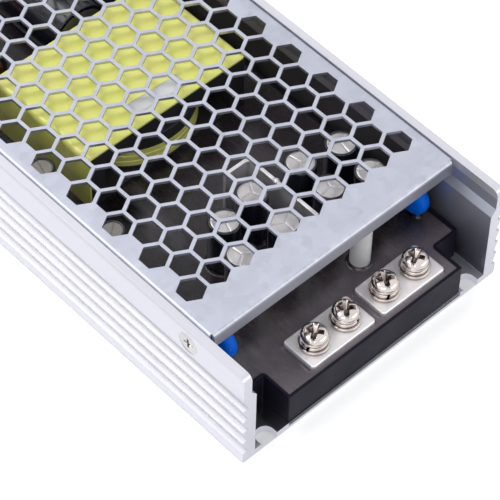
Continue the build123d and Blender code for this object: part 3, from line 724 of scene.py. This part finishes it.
def make_fasteners():
    long_screw = pan_head_mesh(OUTPUT_SHANK)
    for number, (head_turn, gap_turn) in enumerate(((38, 200), (52, 285), (61, 240), (30, 320)), 1):
        body = f"output_fastener_{number}"
        node = f"output_screw_{number}"
        low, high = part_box(node)
        x, y, _ = middle_of(low, high)
        seat = moved(x, y, high.z - PAN_HEAD_TALL * MM)
        screw = placed(long_screw.copy(), turned_about("Z", head_turn), seat)
        finished(f"screw_out_{number}", screw, "plated_steel", (node,), 40, body)
        node = f"spring_washer_{number}"
        ring = placed(spring_washer_mesh(), turned_about("Z", gap_turn), moved(x, y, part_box(node)[0].z))
        finished(f"spring_ring_{number}", ring, "plated_steel", (node,), 40, body)
        node = f"flat_washer_{number}"
        ring = lathed("flat_washer", washer_section(FLAT_WASHER_RADIUS, FLAT_WASHER_TALL, 0.16), 72, True)
        placed(ring, moved(x, y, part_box(node)[0].z))
        finished(f"flat_ring_{number}", ring, "plated_steel", (node,), 40, body)
    short_screw = pan_head_mesh(INPUT_SHANK)
    for number in range(1, 4):
        body = f"input_fastener_{number}"
        node = f"input_screw_{number}"
        low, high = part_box(node)
        x, y, _ = middle_of(low, high)
        seat = moved(x, y, high.z - PAN_HEAD_TALL * MM)
        screw = placed(short_screw.copy(), turned_about("Z", 25 + 40 * number), seat)
        finished(f"screw_in_{number}", screw, "plated_steel", (node,), 40, body)
        node = f"clamp_plate_{number}"
        ease_edges(finished(f"clamp_{number}", clean_copy(node), "plated_steel", (node,), body=body), 0.12)


def countersunk_mesh():
    """Countersunk cross-recess screw, top of the head on the XY plane."""
    profile = [(0, -4.8), (1.2, -4.8), (1.45, -4.5), (1.45, -1.5), (2.8, -0.12), (COVER_SCREW_HEAD, -0.03)]
    profile += [(2.84, 0.0), (1.5, 0.04), (0, 0.05)]
    cross = crossed(tapered_bar(3.3, 0.72, 0.3, -1.35, 1.3, 0.42))
    return cut(lathed("countersunk", profile, 56), cross, 0.04)


def make_cover_screws():
    low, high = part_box("cover_screws")
    level = (low.z + high.z) / 2
    source = countersunk_mesh()
    meshes = []
    for side, face in ((-1, low.x), (1, high.x)):
        for number, share in enumerate((0.0, 0.5, 1.0)):
            y = low.y + COVER_SCREW_HEAD * MM + share * (high.y - low.y - 2 * COVER_SCREW_HEAD * MM)
            turn = turned_about("Z", 20 + 33 * number + 15 * side)
            meshes.append(placed(source.copy(), turn, turned_about("Y", 90 * side), moved(face, y, level)))
    zinc = plated("zinc_screw", (0.66, 0.655, 0.66), 0.16, 0.30, 2600, 0.00003, 0.9, 1.2 * MM)
    mesh = joined("cover_screw_set", meshes)
    finished("cover_screw_set", mesh, "plated_steel", ("cover_screws",), 40, material=zinc)


# Capacitors, as places across the width and behind the output end, in millimetres

UPRIGHT_CAPACITORS = [
    (-14.4, 28.9), (-1.0, 29.2), (14.1, 29.9), (24.4, 27.0),
    (-10.7, 38.6), (-0.4, 40.6), (14.2, 39.8), (25.2, 37.7),
]
UPRIGHT_RADIUS, UPRIGHT_TALL = 4.0, 18.9
SMALL_CAPACITORS = [(-29.6, 80.6, 15.9), (-28.2, 57.5, 12.9)]
SMALL_RADIUS = 3.15
SLEEVE_WALL = 0.15
CAN_TURNS = (95, 30, 70, 130, 10, 55, 100, 20, 75, 40)
DISC_RADIUS, DISC_THICKNESS, DISC_LEADS = 4.5, 4.2, (-1.9, 1.9)


def vent_top(radius, level, arms, start):
    """Can top as a polar grid, with scored vent lines pressed in."""
    rings, segments = 26, 108
    score_depth, score_width, score_start, score_end = 0.17, 0.16, -0.05, radius * 0.86
    rim_depth, rim_width, rim_share, dome = 0.10, 0.18, 0.9, 0.10
    points = [(0, 0, level)]
    for ring in range(1, rings + 1):
        r = radius * ring / rings
        for step in range(segments):
            turn = 2 * math.pi * step / segments
            x, y = r * math.cos(turn), r * math.sin(turn)
            depth = 0.0
            for arm in range(arms):
                direction = math.radians(start + arm * 360 / arms)
                along = x * math.cos(direction) + y * math.sin(direction)
                across = abs(-x * math.sin(direction) + y * math.cos(direction))
                if score_start < along < score_end:
                    depth = max(depth, math.exp(-(across / score_width) ** 2))
            rim = math.exp(-((r - radius * rim_share) / rim_width) ** 2)
            points.append((x, y, level - score_depth * depth - rim_depth * rim + dome * (1 - r / radius)))
    faces = [(0, 1 + step, 1 + (step + 1) % segments) for step in range(segments)]
    for ring in range(rings - 1):
        first = 1 + ring * segments
        for step in range(segments):
            after = (step + 1) % segments
            faces.append((first + step, first + segments + step, first + segments + after, first + after))
    return mesh_from("vent_top", points, faces)


def can_mesh(radius, tall, arms, start):
    top_radius = radius - 0.2
    side = lathed("can_side", [(0, 0), (radius, 0), (radius, tall - 0.25), (top_radius, tall)], 56)
    return joined("can", [side, vent_top(top_radius, tall, arms, start)])


def sleeve_mesh(radius, tall):
    """Shrunk sleeve whose edge rolls over the can's rim."""
    wall, lip = SLEEVE_WALL, 0.62
    profile = [(radius - wall, 0.0), (radius, 0.0), (radius, 1.2), (radius - 0.05, 1.6), (radius - 0.05, 2.2)]
    profile += [(radius, 2.6), (radius, tall - 0.5)]
    profile += rounded_corner(radius - 0.45, tall - 0.30, 0.45, 0, 90, 7)
    profile += [(radius - lip, tall + 0.10), (radius - lip - 0.02, tall + 0.02)]
    profile += [(radius - wall - 0.2, tall - 0.02), (radius - wall, tall - 0.3)]
    return lathed("sleeve", profile, 64, True)


def make_capacitors():
    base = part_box("capacitor_cans")[0].z
    cans, small_cans, sleeves = [], [], []
    rows = [(x, y, UPRIGHT_RADIUS, UPRIGHT_TALL, 3, cans) for x, y in UPRIGHT_CAPACITORS]
    rows += [(x, y, SMALL_RADIUS, tall, 2, small_cans) for x, y, tall in SMALL_CAPACITORS]
    for (x, distance, radius, tall, arms, group), start in zip(rows, CAN_TURNS):
        place = moved(x * MM, (distance - HALF_LENGTH) * MM, base)
        group.append(placed(can_mesh(radius - SLEEVE_WALL, tall, arms, start), place))
        sleeves.append(placed(sleeve_mesh(radius, tall), place))
    dull = plated("dull_can", (0.34, 0.32, 0.30), 0.42, 0.55, 1800, 0.00002, 0.6)
    finished("can_set", joined("can_set", cans), "can_aluminium", ("capacitor_cans",), 50)
    finished("small_can_set", joined("small_can_set", small_cans), "can_aluminium", (), 50, material=dull)
    finished("sleeve_set", joined("sleeve_set", sleeves), "sleeve_black", ("capacitor_sleeves",), 50)


def make_bulk_capacitors():
    low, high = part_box("bulk_capacitor_cans")
    radius = (high.z - low.z) / 2 / MM + SLEEVE_WALL
    bare = radius - SLEEVE_WALL
    tall = (high.y - low.y) / MM
    level = (low.z + high.z) / 2
    profile = [(bare, 0.0), (radius, 0.0), (radius, 1.4)]
    profile += [(radius - 0.5 + 0.5 * abs(step - 4) / 4, 1.6 + 0.2 * step) for step in range(9)]
    profile += [(radius, 3.6), (radius, tall - 0.6)]
    profile += rounded_corner(radius - 0.55, tall - 0.40, 0.55, 0, 90, 7)
    profile += [(radius - 1.0, tall + 0.10), (radius - 1.02, tall), (bare, tall - 0.05)]
    cans, sleeves = [], []
    for number, x in enumerate((low.x + bare * MM, high.x - bare * MM)):
        place = (turned_about("X", 90), moved(x, high.y, level))
        cans.append(placed(can_mesh(bare, tall, 3, 80 + 50 * number), *place))
        sleeves.append(placed(lathed("bulk_sleeve", profile, 80, True), *place))
    finished("bulk_can_set", joined("bulk_can_set", cans), "can_aluminium", ("bulk_capacitor_cans",), 50)
    shrunk = joined("bulk_sleeve_set", sleeves)
    finished("bulk_sleeve_set", shrunk, "sleeve_black", ("bulk_capacitor_sleeves",), 50)


def dipped_disc(name, node):
    """Dipped disc standing on edge, full at its rim, with coated leads below."""
    radius, steps = DISC_RADIUS, 22
    low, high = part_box(node)
    x, y, _ = middle_of(low, high)
    middle = Vector((x, y, high.z - radius * MM))
    profile = []
    for step in range(steps + 1):
        turn = math.pi * (step / steps - 0.5)
        flat = math.copysign(abs(math.sin(turn)) ** 0.75, math.sin(turn))
        reach = radius * abs(math.cos(turn)) ** 0.55 if 0 < step < steps else 0
        profile.append((reach, DISC_THICKNESS / 2 * flat))
    parts = [placed(lathed("disc", profile, 64), turned_about("Y", 90))]
    foot = low.z / MM - middle.z / MM
    stem = [(0, foot), (0.45, foot), (0.5, -radius - 0.4), (0.75, -radius + 0.3)]
    stem += [(1.1, -radius + 1.2), (0, -radius + 1.6)]
    for offset in DISC_LEADS:
        parts.append(placed(lathed("stem", stem, 24), moved(0, offset * MM, 0)))
    finished(name, placed(joined(name, parts), Matrix.Translation(middle)), "disc_blue", (node,), 60)


def make_indicator():
    low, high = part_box("indicator_spacer")
    x, y, _ = middle_of(low, high)
    tall = (high.z - low.z) / MM
    profile = [(1.4, 0), (2.5, 0), (2.5, tall - 0.25)] + rounded_corner(2.25, tall - 0.25, 0.25, 0, 90, 4)
    profile += [(1.6, tall), (1.4, tall - 0.2)]
    tube = placed(lathed("spacer", profile, 56, True), moved(x, y, low.z))
    finished("spacer_tube", tube, "spacer_plastic", ("indicator_spacer",))
    low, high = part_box("indicator_lamp")
    tall = (high.z - low.z) / MM
    dome = 2.4
    profile = [(0, 0), (2.7, 0)] + rounded_corner(2.68, 0.12, 0.12, -90, 0, 3)
    profile += rounded_corner(2.68, 0.78, 0.12, 0, 90, 3) + [(dome, 0.92), (dome, tall - dome)]
    profile += rounded_corner(0, tall - dome, dome, 6, 88, 12) + [(0, tall)]
    lens = placed(lathed("lens", profile, 56), moved(x, y, low.z))
    finished("lamp_lens", lens, "lamp_red", ("indicator_lamp",))


# Transformer

def stepped(outline):
    """The closed outline with its long sides cut into steps."""
    points, longest = [], 1.4
    for (x, y), (next_x, next_y) in zip(outline, outline[1:] + outline[:1]):
        pieces = max(1, int(math.dist((x, y), (next_x, next_y)) / longest))
        for item in range(pieces):
            share = item / pieces
            points.append((x + (next_x - x) * share, y + (next_y - y) * share))
    return points


def tape_mesh(half_x, half_z, depth):
    """Tape round the core, uneven along its turns, bulging over the wires and folded in at both ends."""
    outline = stepped(rounded_rectangle(0, 0, half_x, half_z, 1.5, 7))
    count = len(outline)
    rows, fold = 48, 0.45
    bulge_places, bulge_reach = (-11.5, 0.5, 12.0), 3.0

    def level_of(row):
        return -depth / 2 + depth * row / rows

    def set_back(x, y):
        side = min(max((x - half_x + 1.0) / 0.8, 0), 1)
        return 0.9 * side * math.exp(-((y + depth / 2) / 1.2) ** 2)

    points = []
    for row in range(rows + 1):
        y = level_of(row)
        lift = 0.12 * math.sin(row * 1.7) + 0.05 * math.sin(row * 4.1)
        along = 0.0 if row in (0, rows) else 1.0
        for x, z in outline:
            push = near_edge = sink = 0.0
            if z > 0 and x < -half_x + 5:
                push = max(math.exp(-((y - place) / bulge_reach) ** 4) for place in bulge_places)
                near_edge = math.exp(-(((x + half_x - 0.8) / 1.5) ** 2))
            if z > half_z - 2.5:
                sink = 0.10 * (1 - push) * math.exp(-(((x + half_x) / 2.2) ** 2)) * along
            swell = 0.04 * lift * along + 0.45 * near_edge * push
            points.append((x - 0.7 * near_edge * push, y + set_back(x, y), z - sink + swell - 0.05))
    faces = tube_faces(rows + 1, count)
    for row in (0, rows):
        first = len(points)
        y = level_of(row)
        for x, z in outline:
            inner_x = min(max(x, -half_x + fold), half_x - fold)
            inner_z = min(max(z, -half_z + fold), half_z - fold - 0.05)
            points.append((inner_x, y + set_back(x, y), inner_z))
        for item in range(count):
            after = (item + 1) % count
            faces.append((row * count + item, first + item, first + after, row * count + after))
    return mesh_from("tape", points, faces)


def make_tape():
    low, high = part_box("transformer_tape")
    width, tall, depth = [(high[axis] - low[axis]) / MM for axis in (0, 2, 1)]
    tape = placed(tape_mesh(width / 2 - 0.02, tall / 2, depth), moved(*middle_of(low, high)))
    finished("tape_wrap", tape, "tape_yellow", ("transformer_tape",), 50)


def make_winding():
    low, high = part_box("transformer_winding")
    x, y, _ = middle_of(low, high)
    radius, tall = (high.x - low.x) / 2 / MM, (high.z - low.z) / MM
    bore, layers = 9.3, 3
    profile = [(bore, 0), (radius - 0.3, 0)]
    for layer in range(layers):
        first = layer * tall / layers
        profile += [(radius - 0.25, first + 0.05), (radius - 0.02 * layer, first + 0.25)]
        profile.append((radius - 0.03 * layer, first + tall / layers - 0.15))
    profile += [(radius - 0.4, tall), (bore, tall)]
    drum = placed(lathed("drum", profile, 120, True), moved(x, y, low.z))
    finished("winding_drum", drum, "tape_yellow", ("transformer_winding",), 30)


def make_label():
    """Paper whose short ends curl up a little."""
    low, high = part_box("transformer_label")
    middle_x, middle_y, _ = middle_of(low, high)
    place = moved(middle_x, middle_y, low.z)
    half_x, half_y = (high.x - low.x) / 2 / MM - 0.1, (high.y - low.y) / 2 / MM - 0.05
    rows, columns = 6, 24
    points, faces = [], []
    for row in range(rows + 1):
        for column in range(columns + 1):
            x = -half_x + 2 * half_x * column / columns
            y = -half_y + 2 * half_y * row / rows
            points.append((x, y, 0.03 + 0.04 * (abs(x) / half_x) ** 6))
    for row in range(rows):
        for column in range(columns):
            first = row * (columns + 1) + column
            faces.append((first, first + 1, first + columns + 2, first + columns + 1))
    sheet = placed(mesh_from("sheet", points, faces), turned_about("Z", -2.5), place)
    label = finished("blank_label", sheet, "label_paper", ("transformer_label",))
    solidify = label.modifiers.new("thickness", "SOLIDIFY")
    solidify.thickness = 0.06 * MM
    solidify.offset = 1


# Wound chokes

def wire_turn(inner, outer, tall, wire, direction):
    """One turn of wire round a ring core, in the plane that holds the given direction."""
    radius, sides = wire / 2, 8
    left, right = inner - radius, outer + radius
    bottom, top = wire - radius, wire + tall + radius
    wide = 0.9
    tight = wide * 0.6
    outline = rounded_corner(right - wide, top - wide, wide, 0, 90, 3)
    outline += rounded_corner(left + tight, top - tight, tight, 90, 180, 3)
    outline += rounded_corner(left + tight, bottom + tight, tight, 180, 270, 3)
    outline += rounded_corner(right - wide, bottom + wide, wide, 270, 360, 3)
    points = []
    for r, z, normal_r, normal_z in with_normals(outline):
        for side in range(sides):
            turn = 2 * math.pi * side / sides
            across, out = radius * math.cos(turn), radius * math.sin(turn)
            points.append((r + normal_r * out, across, z + normal_z * out))
    mesh = mesh_from("turn", points, tube_faces(len(outline), sides, True))
    return placed(mesh, turned_about("Z", direction))


def wound_choke(name, core_node, winding_node, bore_share, wire, arcs, spacing):
    """Turns of wire over arcs of (start, reach) round a ring core, with the angles in degrees."""
    low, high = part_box(core_node)
    x, y, _ = middle_of(low, high)
    outer, tall = (high.x - low.x) / 2 / MM, (high.z - low.z) / MM
    base = moved(x, y, low.z - wire * MM)
    turns = []
    for start, reach in arcs:
        direction = start + spacing / 2
        while direction < start + reach:
            turns.append(placed(wire_turn(outer * bore_share, outer, tall, wire, direction), base))
            direction += spacing
    finished(name, joined(name, turns), "copper_wire", (winding_node,), 60)
    edged(core_node, 0.5, 3, 50)


# Fuse and solder

def make_fuse():
    low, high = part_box("input_fuse")
    _, y, z = middle_of(low, high)
    radius, length = (high.z - low.z) / 2 / MM, (high.x - low.x) / MM
    cap = 5.0
    place = (turned_about("Y", 90), moved(low.x, y, z))
    profile = [(0, 0.05), (radius - 0.12, cap - 0.5), (radius - 0.12, length - cap + 0.5), (0, length - 0.05)]
    finished("fuse_tube", placed(lathed("tube", profile, 56), *place), "fuse_ceramic", ("input_fuse",))
    caps = []
    for start, end, sign in ((0.0, cap, 1), (length, length - cap, -1)):
        profile = [(0, start), (radius - 0.3, start), (radius, start + 0.3 * sign)]
        profile += [(radius, end - 0.2 * sign), (radius - 0.14, end)]
        caps.append(placed(lathed("cap", profile, 56), *place))
    finished("fuse_caps", joined("fuse_caps", caps), "tinned_copper")


def make_solder():
    """Mound of solder on the bright strip between the capacitors."""
    x, distance, size = 6.2, 39.5, 0.85
    profile = [(0, -0.2), (size, -0.15), (size * 0.92, 0.12), (size * 0.6, 0.38)]
    profile += [(size * 0.25, 0.5), (0, 0.52)]
    place = moved(x * MM, (distance - HALF_LENGTH) * MM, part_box("output_busbar")[1].z)
    finished("busbar_solder", placed(lathed("busbar_solder", profile, 28), place), "tinned_copper", (), 70)


# Potting menisci

def meniscus(outline, level, reach, rise):
    """Concave lip of potting that climbs a wall.  The outline follows the wall, potting to its right."""
    steps = 6
    points, faces = [], []
    for x, y, out_x, out_y in with_normals(outline):
        for step in range(steps + 1):
            share = step / steps
            height = level + rise * (1 - share) ** 2.4 - 0.01 * share
            points.append((x + out_x * reach * share, y + out_y * reach * share, height))
    for item in range(len(outline)):
        after = (item + 1) % len(outline)
        for step in range(steps):
            first, second = item * (steps + 1) + step, after * (steps + 1) + step
            faces.append((first, first + 1, second + 1, second))
    return mesh_from("meniscus", points, faces)


def circle_points(x, y, radius, steps=40):
    turns = [2 * math.pi * step / steps for step in range(steps)]
    return [(x + radius * math.cos(turn), y + radius * math.sin(turn)) for turn in turns]


def middle_and_half(node):
    low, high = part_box(node)
    return (low + high) / 2 / MM, (high - low) / 2 / MM


def make_menisci():
    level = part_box("potting_compound")[1].z / MM
    strips = []
    for node in ("output_terminal_left", "output_terminal_right"):
        middle, half = middle_and_half(node)
        outline = rounded_rectangle(middle.x, middle.y, half.x, half.y, 1.0, 5)
        strips.append(meniscus(outline, level, 0.9, 0.55))
    places = [(x, y, UPRIGHT_RADIUS) for x, y in UPRIGHT_CAPACITORS]
    places += [(x, y, SMALL_RADIUS) for x, y, _ in SMALL_CAPACITORS]
    for x, distance, radius in places:
        strips.append(meniscus(circle_points(x, distance - HALF_LENGTH, radius), level, 0.8, 0.6))
    spot, _ = middle_and_half("indicator_spacer")
    strips.append(meniscus(circle_points(spot.x, spot.y, 2.5), level, 1.0, 0.7))
    for node in ("disc_capacitor_left", "disc_capacitor_right"):
        spot, _ = middle_and_half(node)
        for offset in DISC_LEADS:
            strips.append(meniscus(circle_points(spot.x, spot.y + offset, 0.45, 20), level, 0.9, 0.8))
    finished("potting_lips", joined("potting_lips", strips), "potting", (), 70)


# Assembly

make_fasteners()
make_cover_screws()
make_capacitors()
make_bulk_capacitors()
dipped_disc("disc_left", "disc_capacitor_left")
dipped_disc("disc_right", "disc_capacitor_right")
make_indicator()
edged("transformer_core", 0.35, 3)
make_tape()
make_winding()
make_label()
wound_choke("boost_turns", "boost_choke_core", "boost_choke_winding", 0.52, 1.5, [(0, 300)], 12.8)
wound_choke(
    "filter_turns", "filter_choke_core", "filter_choke_windings", 0.545, 1.3, [(-65, 130), (115, 130)], 12.6,
)
make_fuse()
make_solder()
make_menisci()
for node, width in (
    ("potting_tray", 0.15), ("output_terminal_left", 0.12), ("output_terminal_right", 0.12),
    ("transformer_bobbin", 0.2), ("output_busbar", 0.15), ("primary_heatsink", 0.25),
    ("switching_transistors", 0.3), ("bridge_rectifier", 0.4), ("film_capacitor", 0.6),
    ("thermistor", 0.3), ("input_terminal_block", 0.25), ("input_contacts", 0.12),
):
    edged(node, width)
edged("channel", 0.14, limit=30)
edged("cover", 0.1, limit=30)
for node in ("potting_compound", "circuit_board"):
    NODES[node].data.materials.clear()
    NODES[node].data.materials.append(MATERIALS[SLOTS[node]])


# Studio

def make_floor():
    """White ground, brighter far off, with a painted shadow under the object, and dimmer in mirrors than to
    the camera.
    """
    mesh = bpy.data.meshes.new("floor")
    size, level = 4.0, -0.0001
    corners = [(size * x, size * y, level) for x, y in ((-1, -1), (1, -1), (1, 1), (-1, 1))]
    mesh.from_pydata(corners, [], [(0, 1, 2, 3)])
    floor = linked("floor", mesh)
    material, tree, shader = new_material("floor_white")
    feed(tree, shader, {"Base Color": (0.92, 0.92, 0.92, 1), "Roughness": 0.9, "Specular IOR Level": 0.0})
    path = tree.nodes.new("ShaderNodeLightPath")
    distance = tree.nodes.new("ShaderNodeVectorMath")
    distance.operation = "LENGTH"
    tree.links.new(object_vector(tree), distance.inputs[0])
    far = span(tree, distance.outputs["Value"], 0.45, 0.64, 0.2, 0.7)
    x, y, _ = separated(tree, object_vector(tree))
    # Painted shadow: the glow drops over the object's footprint.
    footprint_painted_shadow = product(
        tree,
        below(tree, distance_from_zero(tree, x), SHADOW_HALF_X),
        below(tree, distance_from_zero(tree, y), SHADOW_HALF_Y),
    )
    brightness = calculated(tree, "SUBTRACT", far, product(tree, footprint_painted_shadow, 0.36))
    seen = product(tree, path.outputs["Is Camera Ray"], brightness)
    mirrored = product(tree, path.outputs["Is Glossy Ray"], 0.30)
    glow = tree.nodes.new("ShaderNodeEmission")
    tree.links.new(total(tree, seen, mirrored), glow.inputs["Strength"])
    both = tree.nodes.new("ShaderNodeAddShader")
    tree.links.new(shader.outputs["BSDF"], both.inputs[0])
    tree.links.new(glow.outputs["Emission"], both.inputs[1])
    tree.links.new(both.outputs["Shader"], tree.nodes["Material Output"].inputs["Surface"])
    mesh.materials.append(material)


def make_world():
    """White to the camera, in mirrors and through glass, and a dimmer, cooler light on everything else."""
    world = bpy.data.worlds.new("studio")
    bpy.context.scene.world = world
    world.use_nodes = True
    tree = world.node_tree
    seen = tree.nodes["Background"]
    feed(tree, seen, {"Color": (1, 1, 1, 1), "Strength": 1.0})
    lighting = tree.nodes.new("ShaderNodeBackground")
    feed(tree, lighting, {"Color": (0.96, 0.98, 1.0, 1), "Strength": 0.52})
    path = tree.nodes.new("ShaderNodeLightPath").outputs
    direct = calculated(tree, "MAXIMUM", path["Is Camera Ray"], path["Is Glossy Ray"])
    mix = tree.nodes.new("ShaderNodeMixShader")
    tree.links.new(calculated(tree, "MAXIMUM", direct, path["Is Transmission Ray"]), mix.inputs["Fac"])
    tree.links.new(lighting.outputs["Background"], mix.inputs[1])
    tree.links.new(seen.outputs["Background"], mix.inputs[2])
    tree.links.new(mix.outputs["Shader"], tree.nodes["World Output"].inputs["Surface"])


def aim(item, place, target):
    item.location = place
    item.rotation_mode = "QUATERNION"
    item.rotation_quaternion = (Vector(target) - Vector(place)).to_track_quat("-Z", "Y")


def area_light(name, place, size, power):
    light = bpy.data.lights.new(name, "AREA")
    light.shape = "RECTANGLE"
    light.size, light.size_y = size
    light.energy = power
    aim(linked(name, light), place, (0, -0.03, 0.02))


def make_camera():
    data = bpy.data.cameras.new("camera")
    data.lens = 188.1
    data.sensor_width = 36
    data.clip_start = 0.01
    camera = linked("camera", data)
    aim(camera, (-0.267444, -0.350740, 0.484630), (-0.014945, -0.090279, 0.031))
    roll = Quaternion((0, 0, 1), math.radians(1.506))
    camera.rotation_quaternion = camera.rotation_quaternion @ roll
    bpy.context.scene.camera = camera


make_floor()
make_world()
area_light("key", (-0.75, -0.55, 0.9), (0.6, 0.6), 2.0)
area_light("front", (0.5, -0.95, 0.55), (0.9, 0.5), 1.9)
area_light("overhead", (-0.18, 0.48, 0.95), (0.6, 0.6), 3.35)
area_light("left_low", (-1.0, 0.1, 0.16), (0.5, 0.4), 0.55)
make_camera()
bpy.context.scene.view_settings.view_transform = "Standard"
